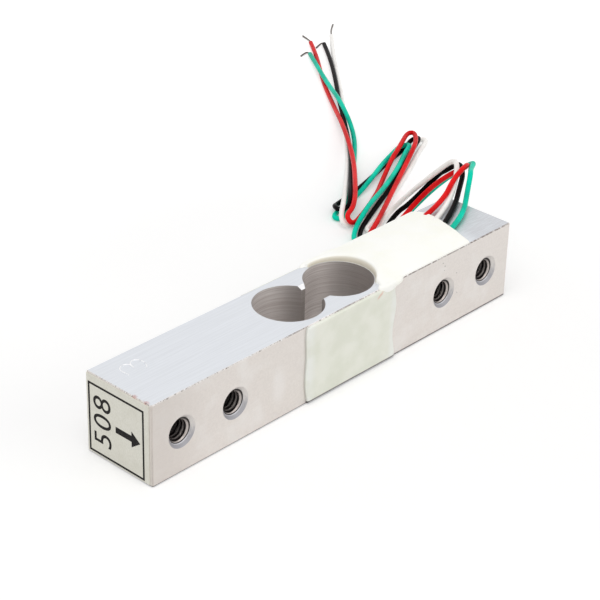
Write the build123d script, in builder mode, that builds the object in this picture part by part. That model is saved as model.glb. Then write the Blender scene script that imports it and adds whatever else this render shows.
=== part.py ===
# Weighing load cell: a square aluminium bar with a binocular opening, four bonded strain gauges,
# a small terminal board under white potting, and four thin coloured leads with bare ends.
# Millimetres. X runs along the bar toward the lead end, -Y is the visible long side with the
# tapped holes, Z is up, and the origin is the middle of the base.

import os
from math import radians, tan

from build123d import *

os.makedirs("parts", exist_ok=True)

# Bar
bar_length = 75.0
bar_side = 12.7
edge_break = 0.15
half_length = bar_length / 2
half_side = bar_side / 2

# Binocular opening through the bar, from the top face to the base
bore_radius = 5.25
bore_offset = 5.25
slot_width = 4.0
tip_chamfer = 0.55

# Tapped M4 holes through the long sides, two near each end
tap_radius = 1.65
countersink_radius = 2.45
countersink_angle = 90
hole_end_distance = 5.4
hole_pitch = 10.0
hole_places = [
    sign * (half_length - hole_end_distance - row * hole_pitch) for sign in (-1, 1) for row in (0, 1)
]

# Strain gauges: a thin backing film with an etched foil grid, over the thin walls of the bores
film_length = 6.0
film_height = 3.8
film_thickness = 0.06
foil_thickness = 0.03
grid_line_count = 6
grid_line_length = 3.2
grid_line_width = 0.2
grid_pitch = 0.36
grid_loop = 0.3
grid_start = -2.35
tab_gap = 0.3
tab_length = 1.1
tab_height = 0.85

# Enamelled jumper wires, four on each side: along the face from a solder tab, each point as x and
# height, then over the long edge and across the top face to their places on the terminal board
jumper_section = 0.12
jumper_edge_height = 0.15
jumper_end_length = 1.2
upper_tab = half_side + 0.575
lower_tab = half_side - 0.575
left_tab = -bore_offset + 1.7
right_tab = bore_offset + 1.7
jumper_runs = [
    [(left_tab, upper_tab), (left_tab, 10.9), (8.2, 10.9)],
    [(left_tab, lower_tab), (left_tab + 1.4, lower_tab), (left_tab + 1.4, 10.4), (8.65, 10.4)],
    [(right_tab, upper_tab), (right_tab, 9.9), (9.1, 9.9)],
    [(right_tab, lower_tab), (9.55, lower_tab)],
]
jumper_board_places = [1.2, 2.0, 2.8, 3.6]

# Protective coat over the gauges, on each long side
coat_start = -8.2
coat_end = 10.8
coat_bow = 0.2
coat_thickness = 0.35
coat_bevel = 0.18

# Potting on the top face, from the rim of the right bore to the leads, low at its edges
pot_crown = 1.2
pot_front_edge = 0.35
pot_back_edge = 0.5
pot_margin = 0.1
pot_back_start = 2.6
pot_front_start = 7.8
pot_rim_gap = 0.1
pot_end = [(27.8, -half_side + pot_margin), (28.9, -1.3), (29.7, 3.5), (28.7, half_side - pot_margin)]
pot_height_line = [(2.0, 0.35), (6.0, 0.6), (12.0, 1.15), (19.0, 1.25), (26.0, 1.15), (28.6, 0.9)]
pot_tip_length = 30.1
drip_depth = 1.3
drip_width = 3.2
drip_back_width = 9.0
drip_overhang = 0.6
drip_bevel = 0.25

# Terminal board inside the potting, with one solder joint for each lead
board_length = 10.0
board_width = 8.8
board_thickness = 0.3
board_center = 21.0
solder_radius = 0.8
solder_sides = 10
solder_taper = 32
solder_height = 0.6

# Leads: stranded copper in a PVC sleeve, stripped at both ends, drawn with a plain square section
section_sides = 4
lead_corner_radius = 0.49
core_corner_radius = 0.17
core_length = 3.6
core_end = 0.35
tip_start = 0.6
bend_share = 0.45
embedded_length = 3.0

# Paper label on the end face away from the leads
label_width = 12.1
label_height = 12.2
label_thickness = 0.1
label_shift = 0.2

# Route of each lead, chosen point by point: out of the potting, over the end of the bar, down
# to the table, through two flat folds, and off to the stripped end
routes = {
    "red": [
        (28.6, 3.4, 13.3), (34.9, 4.8, 13.4), (40.7, 7.6, 14.3), (44.1, 7.8, 15.6), (46.5, 9.4, 13.9),
        (45.1, 12.8, 11.4), (45.1, 17.5, 6.2), (38.9, 18.1, 1.9), (35.0, 17.8, 1.5), (34.5, 19.8, 1.4),
        (38.5, 21.4, 1.8), (44.9, 24.9, 1.7), (52.6, 29.3, 1.5), (60.7, 33.6, 1.8), (66.7, 37.1, 2.7),
        (69.7, 39.2, 2.4), (68.6, 40.8, 2.2), (65.7, 38.7, 2.6), (59.4, 36.0, 2.1), (53.3, 33.0, 0.6),
        (47.3, 29.0, 1.6), (40.5, 25.9, 1.6), (36.6, 24.7, 1.2), (35.9, 25.8, 2.7), (39.0, 26.7, 3.1),
        (44.5, 31.3, 3.2), (54.3, 40.5, 2.5), (62.9, 50.7, 2.5), (71.3, 60.7, 0.8), (79.1, 70.7, 0.5),
        (88.0, 80.6, 0.6), (92.3, 86.2, 0.5),
    ],
    "white": [
        (28.0, 1.2, 13.3), (34.5, 3.2, 13.5), (41.1, 7.2, 15.9), (44.9, 10.9, 15.4), (45.4, 15.0, 11.3),
        (45.6, 19.6, 6.4), (45.2, 23.6, 1.5), (42.3, 23.4, 0.5), (40.3, 21.8, 0.5), (37.8, 20.5, 0.6),
        (36.8, 22.2, 1.0), (40.1, 23.8, 0.5), (46.4, 26.6, 0.5), (54.7, 30.1, 0.5), (62.6, 34.0, 0.5),
        (68.3, 37.1, 0.5), (71.2, 38.1, 0.5), (70.4, 39.9, 0.5), (67.7, 38.2, 0.5), (61.5, 35.6, 0.5),
        (54.5, 32.1, 0.5), (47.1, 28.9, 0.5), (40.6, 26.3, 0.5), (36.7, 25.4, 0.5), (35.9, 27.0, 1.5),
        (39.7, 29.6, 3.1), (45.3, 34.3, 1.9), (55.6, 42.8, 0.5), (74.8, 61.5, 0.5), (83.8, 71.2, 0.5),
        (93.0, 80.9, 0.5), (98.1, 85.8, 0.5),
    ],
    "black": [
        (28.2, -0.5, 13.2), (34.4, 2.2, 13.2), (39.5, 5.4, 13.7), (43.4, 7.8, 14.2), (45.8, 10.5, 14.5),
        (46.2, 13.5, 11.9), (47.2, 15.8, 10.1), (44.2, 19.1, 4.5), (44.0, 21.8, 1.9), (37.9, 19.7, 0.5),
        (35.0, 19.0, 0.5), (34.0, 20.9, 0.5), (37.1, 23.6, 0.5), (43.5, 26.4, 0.7), (52.3, 30.1, 0.9),
        (60.9, 34.3, 0.9), (67.2, 37.5, 1.3), (71.1, 39.2, 1.6), (70.4, 40.9, 0.7), (67.4, 39.5, 0.5),
        (60.8, 37.9, 0.5), (54.0, 35.7, 0.5), (47.0, 33.7, 0.5), (39.9, 31.9, 0.5), (38.3, 29.1, 0.9),
        (39.5, 28.1, 2.4), (42.1, 30.4, 3.1), (47.6, 35.2, 2.2), (56.8, 43.3, 1.4), (65.0, 52.0, 1.5),
        (72.9, 60.8, 1.2), (81.3, 69.5, 1.2), (89.4, 78.5, 0.8), (93.7, 83.8, 0.5),
    ],
    "green": [
        (27.0, -2.4, 13.2), (32.9, -0.7, 13.2), (38.6, 3.1, 14.4), (41.1, 4.6, 16.1), (43.5, 6.5, 15.4),
        (47.5, 8.7, 14.9), (46.6, 15.1, 9.0), (43.8, 19.6, 2.2), (37.0, 18.4, 0.5), (33.3, 18.2, 0.5),
        (32.3, 20.0, 0.6), (34.5, 23.0, 0.9), (41.1, 25.6, 2.8), (49.4, 29.2, 2.0), (57.3, 32.9, 1.8),
        (63.4, 36.3, 1.9), (66.9, 38.0, 1.9), (66.1, 39.7, 1.2), (63.2, 38.6, 1.5), (57.2, 36.5, 1.4),
        (52.6, 34.3, 1.6), (47.8, 33.0, 0.6), (42.0, 31.2, 0.6), (39.7, 29.9, 0.5), (39.8, 29.7, 2.2),
        (41.4, 30.6, 1.8), (44.0, 32.4, 1.5), (48.8, 36.3, 0.9), (56.8, 42.4, 0.5), (64.1, 49.0, 1.3),
        (70.2, 57.9, 2.9), (77.0, 67.4, 1.5), (83.3, 76.7, 1.5), (87.7, 82.1, 0.5),
    ],
}

# Stripped end of each lead, going on from the last point of its route
tip_routes = {
    "red": [(93.6, 88.3, 0.3), (94.3, 90.3, 0.2)],
    "white": [(100.6, 88.3, 0.3), (103.7, 90.5, 0.2)],
    "black": [(93.6, 84.8, 0.3), (91.6, 84.0, 0.2)],
    "green": [(88.1, 83.7, 0.3), (86.1, 83.1, 0.2)],
}


def bend_radii(points):
    # each arc takes up a fixed share of the shorter run beside it
    radii = []
    for before, corner, after in zip(points, points[1:], points[2:]):
        run_in = Vector(*corner) - Vector(*before)
        run_out = Vector(*after) - Vector(*corner)
        shorter = min(run_in.length, run_out.length)
        half_turn = radians(run_in.get_angle(run_out)) / 2
        radii.append(bend_share * shorter / tan(half_turn))
    return radii


# Bar with the binocular opening and the tapped holes
with BuildPart() as beam:
    with BuildSketch(Plane.XY):
        Rectangle(bar_length, bar_side)
    extrude(amount=bar_side)
    chamfer(beam.edges(), length=edge_break)
    with BuildSketch(Plane.XY):
        with Locations((-bore_offset, 0), (bore_offset, 0)):
            Circle(bore_radius)
        Rectangle(2 * bore_offset, slot_width)
    extrude(amount=bar_side, mode=Mode.SUBTRACT)
    ridge_edges = beam.edges().filter_by(Axis.X).filter_by(lambda edge: edge.length < slot_width)
    chamfer(ridge_edges, length=tip_chamfer)
    for side in (-1, 1):
        mouths = [Plane((x, side * half_side, half_side), z_dir=(0, side, 0)) for x in hole_places]
        with Locations(*mouths):
            CounterSinkHole(tap_radius, countersink_radius, half_side, countersink_angle)
beam.part.label = "beam"
export_step(beam.part, "parts/beam.step")

# Strain gauges, two on each long side, each over the thin wall of one bore
gauge_parts = {-1: [], 1: []}
for side, side_name in ((-1, "front"), (1, "back")):
    for place, place_name in ((-bore_offset, "left"), (bore_offset, "right")):
        face = Plane((place, side * half_side, half_side), x_dir=(-side, 0, 0), z_dir=(0, side, 0))
        with BuildPart() as film:
            with BuildSketch(face):
                Rectangle(film_length, film_height)
            extrude(amount=film_thickness)
        film.part.label = f"gauge_film_{side_name}_{place_name}"
        export_step(film.part, f"parts/{film.part.label}.step")

        # grid lines joined end to end by loops, the outer two running on to the solder tabs
        with BuildPart() as foil:
            with BuildSketch(face.offset(film_thickness)) as grid:
                for line in range(grid_line_count):
                    height = (line - (grid_line_count - 1) / 2) * grid_pitch
                    is_outer = line in (0, grid_line_count - 1)
                    length = grid_line_length + (tab_gap if is_outer else 0)
                    with Locations((-side * (grid_start + length / 2), height)):
                        Rectangle(length, grid_line_width)
                for gap in range(grid_line_count - 1):
                    height = (gap + 1 - grid_line_count / 2) * grid_pitch
                    far_shift = (grid_line_length - grid_loop) * (gap % 2)
                    with Locations((-side * (grid_start + grid_loop / 2 + far_shift), height)):
                        Rectangle(grid_loop, grid_pitch + grid_line_width)
                tab_place = grid_start + grid_line_length + tab_gap + tab_length / 2
                tab_rise = ((grid_line_count - 1) * grid_pitch + grid_line_width - tab_height) / 2
                with Locations((-side * tab_place, tab_rise), (-side * tab_place, -tab_rise)):
                    Rectangle(tab_length, tab_height)
            extrude(amount=foil_thickness)
        foil.part.label = f"gauge_foil_{side_name}_{place_name}"
        export_step(foil.part, f"parts/{foil.part.label}.step")
        gauge_parts[side] += [film.part, foil.part]

# Jumper wires from the gauges to the terminal board, buried in the coat and in the potting
jumper_parts = {-1: [], 1: []}
jumper_seat = half_side + film_thickness + foil_thickness + jumper_section / 2
edge_level = bar_side + jumper_edge_height
board_seat = bar_side + board_thickness + 0.7 * jumper_section
board_edge = board_center - board_length / 2
for side, side_name in ((-1, "front"), (1, "back")):
    for number, run in enumerate(jumper_runs):
        board_y = side * jumper_board_places[number]
        wire_points = [(x, side * jumper_seat, z) for x, z in run]
        wire_points.append((run[-1][0], side * jumper_seat, edge_level))
        wire_points.append((board_edge - jumper_end_length / 2, board_y, board_seat))
        wire_points.append((board_edge + jumper_end_length, board_y, board_seat))
        first_direction = Vector(*wire_points[1]) - Vector(*wire_points[0])
        with BuildPart() as jumper:
            with BuildLine():
                Polyline(*wire_points)
            with BuildSketch(Plane(wire_points[0], x_dir=(0, 1, 0), z_dir=first_direction)):
                Rectangle(jumper_section, jumper_section)
            sweep(transition=Transition.RIGHT)
        jumper.part.label = f"jumper_{side_name}_{number + 1}"
        export_step(jumper.part, f"parts/{jumper.part.label}.step")
        jumper_parts[side].append(jumper.part)

# Protective coat over the two gauges of each long side, its ends slightly bowed
coat_parts = []
coat_low = edge_break
coat_high = bar_side - edge_break
for side, side_name in ((-1, "front"), (1, "back")):
    face = Plane((0, side * half_side, 0), x_dir=(1, 0, 0), z_dir=(0, side, 0))
    low = -side * coat_low
    high = -side * coat_high
    middle = -side * half_side
    with BuildPart() as coat:
        with BuildSketch(face):
            with BuildLine():
                Line((coat_start, low), (coat_end, low))
                ThreePointArc((coat_end, low), (coat_end - coat_bow, middle), (coat_end, high))
                Line((coat_end, high), (coat_start, high))
                ThreePointArc((coat_start, high), (coat_start - coat_bow, middle), (coat_start, low))
            make_face()
        extrude(amount=coat_thickness)
        outer_face = coat.faces().sort_by(Axis.Y)[-1 if side > 0 else 0]
        chamfer(outer_face.edges(), length=coat_bevel)
        for piece in gauge_parts[side] + jumper_parts[side]:
            add(piece, mode=Mode.SUBTRACT)
    coat.part.label = f"gauge_coat_{side_name}"
    export_step(coat.part, f"parts/{coat.part.label}.step")
    coat_parts.append(coat.part)

# Terminal board, flat on the top face
with BuildPart() as board:
    with BuildSketch(Plane.XY.offset(bar_side)):
        with Locations((board_center, 0)):
            Rectangle(board_length, board_width)
    extrude(amount=board_thickness)
board.part.label = "terminal_board"
export_step(board.part, "parts/terminal_board.step")
embedded_parts = [board.part] + jumper_parts[-1] + jumper_parts[1]

# Leads, each with its stripped core on the board, its solder joint and its stripped far end
board_top = bar_side + board_thickness
for name, points in routes.items():
    start = Vector(*points[0])
    first_direction = (Vector(*points[1]) - start).normalized()
    end = Vector(*points[-1])
    last_direction = (end - Vector(*points[-2])).normalized()

    with BuildPart() as core:
        with BuildSketch(Plane(start, z_dir=-first_direction)):
            RegularPolygon(core_corner_radius, section_sides)
        extrude(amount=core_length)
    core.part.label = f"lead_core_{name}"
    export_step(core.part, f"parts/{core.part.label}.step")

    joint_place = start - first_direction * (core_length - core_end)
    with BuildPart() as solder:
        with BuildSketch(Plane((joint_place.X, joint_place.Y, board_top))):
            RegularPolygon(solder_radius, solder_sides)
        extrude(amount=solder_height, taper=solder_taper)
        add(core.part, mode=Mode.SUBTRACT)
    solder.part.label = f"solder_joint_{name}"
    export_step(solder.part, f"parts/{solder.part.label}.step")

    radii = bend_radii(points)
    with BuildPart() as lead:
        with BuildLine() as route:
            FilletPolyline(*points, radius=radii)
        with BuildSketch(Plane(start, z_dir=first_direction)):
            RegularPolygon(lead_corner_radius, section_sides)
        sweep()
    lead.part.label = f"lead_{name}"
    export_step(lead.part, f"parts/{lead.part.label}.step")
    print(name, "lead", round(route.wire().length, 1), "mm, radii", [round(radius, 1) for radius in radii])

    tip_points = [end, end + last_direction * tip_start] + [Vector(*point) for point in tip_routes[name]]
    with BuildPart() as tip:
        with BuildLine():
            FilletPolyline(*tip_points, radius=bend_radii(tip_points))
        with BuildSketch(Plane(end, z_dir=last_direction)):
            RegularPolygon(core_corner_radius, section_sides)
        sweep()
    tip.part.label = f"lead_tip_{name}"
    export_step(tip.part, f"parts/{tip.part.label}.step")

    # the start of the sleeve alone, for its seat in the potting
    with BuildPart() as sleeve_start:
        with BuildSketch(Plane(start, z_dir=first_direction)):
            RegularPolygon(lead_corner_radius, section_sides)
        extrude(amount=embedded_length)
    embedded_parts += [core.part, solder.part, sleeve_start.part]

# Potting: its outline on the top face, cut down to the crown across and along the bar
rim = bore_radius + pot_rim_gap
back_angle = 90 + 8
front_angle = -57
with BuildPart() as potting:
    with BuildSketch(Plane.XY.offset(bar_side)):
        with BuildLine():
            front = Line((pot_front_start, -half_side + pot_margin), pot_end[0])
            end_line = Spline(*pot_end)
            back = Line(end_line @ 1, (pot_back_start - 0.1, half_side - pot_margin))
            rim_arc = CenterArc((bore_offset, 0), rim, back_angle, front_angle - back_angle)
            Line(back @ 1, rim_arc @ 0)
            Line(rim_arc @ 1, front @ 0)
        make_face()
    extrude(amount=2 * pot_crown)
    with BuildSketch(Plane.YZ):
        with BuildLine():
            low_line = Polyline(
                (-half_side, bar_side + pot_front_edge),
                (-half_side, bar_side),
                (half_side, bar_side),
                (half_side, bar_side + pot_back_edge),
            )
            ThreePointArc(low_line @ 1, (0, bar_side + pot_crown), low_line @ 0)
        make_face()
    extrude(amount=bar_length, mode=Mode.INTERSECT)
    with BuildSketch(Plane.XZ):
        with BuildLine():
            crown_line = Spline(*[(x, bar_side + rise) for x, rise in pot_height_line])
            ThreePointArc(crown_line @ 1, (29.6, bar_side + 0.55), (pot_tip_length, bar_side))
            Polyline((pot_tip_length, bar_side), (pot_height_line[0][0], bar_side), crown_line @ 0)
        make_face()
    extrude(amount=bar_side, both=True, mode=Mode.INTERSECT)
    drip_bottom = bar_side - drip_depth
    drip_height = drip_depth + pot_front_edge
    for side, x, width in ((-1, pot_front_start, drip_width), (1, pot_back_start, drip_back_width)):
        drip_center = (x, side * half_side, drip_bottom + drip_height / 2)
        with BuildSketch(Plane(drip_center, x_dir=(0, 1, 0), z_dir=(1, 0, 0))) as drip:
            Rectangle(2 * drip_overhang, drip_height)
            chamfer(drip.vertices(), length=drip_bevel)
        extrude(amount=width)
    for piece in [beam.part] + coat_parts + embedded_parts:
        add(piece, mode=Mode.SUBTRACT)
potting.part.label = "potting"
export_step(potting.part, "parts/potting.step")

# Paper label, almost as large as the end face
with BuildPart() as label:
    with BuildSketch(Plane((-half_length, label_shift, half_side), x_dir=(0, -1, 0), z_dir=(-1, 0, 0))):
        Rectangle(label_width, label_height)
    extrude(amount=label_thickness)
label.part.label = "end_label"
export_step(label.part, "parts/end_label.step")
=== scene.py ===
import bpy
import numpy as np
from mathutils import Matrix, Vector


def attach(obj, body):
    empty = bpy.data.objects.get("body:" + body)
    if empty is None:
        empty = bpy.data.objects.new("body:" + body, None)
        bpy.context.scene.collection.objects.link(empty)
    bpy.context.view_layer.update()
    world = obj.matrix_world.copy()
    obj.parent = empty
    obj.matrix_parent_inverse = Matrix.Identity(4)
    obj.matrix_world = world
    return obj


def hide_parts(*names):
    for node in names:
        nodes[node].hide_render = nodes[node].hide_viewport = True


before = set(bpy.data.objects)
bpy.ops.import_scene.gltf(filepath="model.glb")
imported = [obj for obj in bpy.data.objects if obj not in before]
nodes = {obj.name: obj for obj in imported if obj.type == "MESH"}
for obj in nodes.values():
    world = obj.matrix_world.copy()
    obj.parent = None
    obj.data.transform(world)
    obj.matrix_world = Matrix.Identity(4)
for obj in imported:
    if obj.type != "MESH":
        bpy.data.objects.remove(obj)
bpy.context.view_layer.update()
scene = bpy.context.scene
scene.view_settings.view_transform = "Standard"
mm = 0.001
print("frame loaded:", len(nodes), "nodes")

# Camera, at the photograph's viewing angle
cameraLook = {
    "place": (-0.179405, -0.16187, 0.14627),
    "right": (0.68532, -0.72785, 0.02375),
    "up": (0.34127, 0.34981, 0.87245),
    "back": (-0.64332, -0.5898, 0.48813),
    "lens": 115.8,  # both in millimetres
    "sensor": 36,
}
cameraData = bpy.data.cameras.new("camera")
cameraData.lens = cameraLook["lens"]
cameraData.sensor_width = cameraLook["sensor"]
cameraData.clip_start = 0.01
cameraObject = bpy.data.objects.new("camera", cameraData)
scene.collection.objects.link(cameraObject)
turn = Matrix([cameraLook["right"], cameraLook["up"], cameraLook["back"]]).transposed()
cameraObject.matrix_world = Matrix.LocRotScale(cameraLook["place"], turn.to_quaternion(), None)
scene.camera = cameraObject
print("camera made")


# Small helpers for meshes
def gridNumbers(rows, columns):
    # the points of a grid, counted row by row
    return np.arange(rows * columns).reshape(rows, columns)


def quadsOf(index):
    # each face joins four neighbours of a grid of point numbers
    corners = [index[:-1, :-1], index[:-1, 1:], index[1:, 1:], index[1:, :-1]]
    return np.stack(corners, axis=-1).reshape(-1, 4)


def tubeQuads(rows, columns):
    # the last column is joined to the first one
    index = gridNumbers(rows, columns)
    return quadsOf(np.column_stack([index, index[:, 0]]))


def shellQuads(rows, columns):
    # an outer and an inner grid of the same size, and four narrow strips that close them round
    count = rows * columns
    index = gridNumbers(rows, columns)
    outer = quadsOf(index)
    rim = np.concatenate([index[0, :], index[1:, -1], index[-1, -2::-1], index[-2:0:-1, 0]])
    ahead = np.roll(rim, -1)
    strips = np.stack([rim, rim + count, ahead + count, ahead], axis=-1)
    return np.concatenate([outer, outer[:, ::-1] + count, strips])


def placePiece(name, data):
    # every piece rides on the one body
    piece = bpy.data.objects.new(name, data)
    scene.collection.objects.link(piece)
    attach(piece, "root")
    return piece


def newPiece(name, points, faces, material, slot, smooth=True):
    # points in metres, one row each, and faces as rows of point numbers
    mesh = bpy.data.meshes.new(name)
    mesh.from_pydata(points.reshape(-1, 3).tolist(), [], [list(face) for face in faces])
    mesh.validate()
    mesh.polygons.foreach_set("use_smooth", np.full(len(mesh.polygons), smooth))
    mesh.materials.append(material)
    return placePiece(name, mesh)


def storeValues(piece, name, values):
    # one number for each point, which the material reads under that name
    attribute = piece.data.attributes.new(name, "FLOAT", "POINT")
    attribute.data.foreach_set("value", values.ravel().astype(np.float32))


def cover(mesh, material):
    # takes off whatever the mesh wears and puts this one material on
    mesh.materials.clear()
    mesh.materials.append(material)


def smoothCurve(name, points):
    # a smooth line drawn toward each point of the route in turn
    curve = bpy.data.curves.new(name, "CURVE")
    curve.dimensions = "3D"
    spline = curve.splines.new("NURBS")
    spline.points.add(len(points) - 1)
    spline.points.foreach_set("co", [value for point in points for value in (*point, 1.0)])
    spline.order_u = 3
    spline.use_endpoint_u = True
    spline.resolution_u = 10
    return curve


def roundCurve(name, points, radius, rings, material):
    # the smooth line with a thickness and closed ends
    curve = smoothCurve(name, points)
    curve.bevel_depth = radius * mm
    curve.bevel_resolution = rings
    curve.use_fill_caps = True
    curve.materials.append(material)
    return curve


# Small helpers for materials
def linear(red, green, blue):
    # a colour read as 0 to 255 on a screen, turned into the light values that the shader wants
    share = np.array([red, green, blue]) / 255
    return (*np.where(share <= 0.04045, share / 12.92, ((share + 0.055) / 1.055) ** 2.4), 1.0)


def newFinish(name, roughness, metallic=0.0, coat=0.0):
    # a new material, its node tree and its one shader
    material = bpy.data.materials.new(name)
    material.use_nodes = True
    shader = material.node_tree.nodes["Principled BSDF"]
    shader.inputs["Roughness"].default_value = roughness
    shader.inputs["Metallic"].default_value = metallic
    shader.inputs["Coat Weight"].default_value = coat
    shader.inputs["Coat Roughness"].default_value = 0.12
    return material, material.node_tree, shader


def addNode(tree, kind, values=None, **settings):
    # a node of that kind, its settings, and its inputs joined to a socket or set to a value
    node = tree.nodes.new("ShaderNode" + kind)
    for key, value in settings.items():
        setattr(node, key, value)
    for key, value in (values or {}).items():
        if isinstance(value, bpy.types.NodeSocket):
            tree.links.new(value, node.inputs[key])
        else:
            node.inputs[key].default_value = value
    return node


def placeInMm(tree):
    # the point on the piece in millimetres, so that a scale of 1 is one lump per millimetre
    coordinate = addNode(tree, "TexCoord").outputs["Object"]
    scaled = addNode(tree, "VectorMath", {0: coordinate, "Scale": 1000.0}, operation="SCALE")
    return scaled.outputs["Vector"]


def stretched(tree, place, scale):
    # a scale below 1 draws the pattern out along that axis
    return addNode(tree, "Mapping", {"Vector": place, "Scale": scale}).outputs["Vector"]


def noise(tree, place, scale, detail=4.0, roughness=0.55):
    # soft lumps, as a value that wanders round a half; detail adds finer ones
    values = {"Vector": place, "Scale": scale, "Detail": detail, "Roughness": roughness}
    return addNode(tree, "TexNoise", values).outputs["Fac"]


def distanceTo(tree, place, point):
    # in the units of the place
    return addNode(tree, "VectorMath", {0: place, 1: point}, operation="DISTANCE").outputs["Value"]


def work(tree, operation, *values):
    # one step of arithmetic on sockets and numbers
    return addNode(tree, "Math", dict(enumerate(values)), operation=operation).outputs[0]


def product(tree, first, *others):
    # all the values multiplied together
    for other in others:
        first = work(tree, "MULTIPLY", first, other)
    return first


def offBy(tree, value, target):
    # how far a value is from its target, either way
    return work(tree, "ABSOLUTE", work(tree, "SUBTRACT", value, target))


def between(tree, value, low, high, start=0.0, end=1.0):
    # start up to low, end from high on, and a smooth line from one to the other
    values = {"Value": value, "From Min": low, "From Max": high, "To Min": start, "To Max": end}
    return addNode(tree, "MapRange", values, interpolation_type="SMOOTHSTEP").outputs["Result"]


def mixed(tree, share, *tones):
    # the first tone at a share of 0 and the second at 1; each is a socket or a screen colour
    first, second = [linear(*tone) if isinstance(tone, tuple) else tone for tone in tones]
    return addNode(tree, "Mix", {0: share, 6: first, 7: second}, data_type="RGBA").outputs[2]


def addBump(tree, shader, height, depth):
    # depth in millimetres
    bump = addNode(tree, "Bump", {"Height": height, "Strength": 1.0, "Distance": depth * mm})
    tree.links.new(bump.outputs["Normal"], shader.inputs["Normal"])


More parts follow.
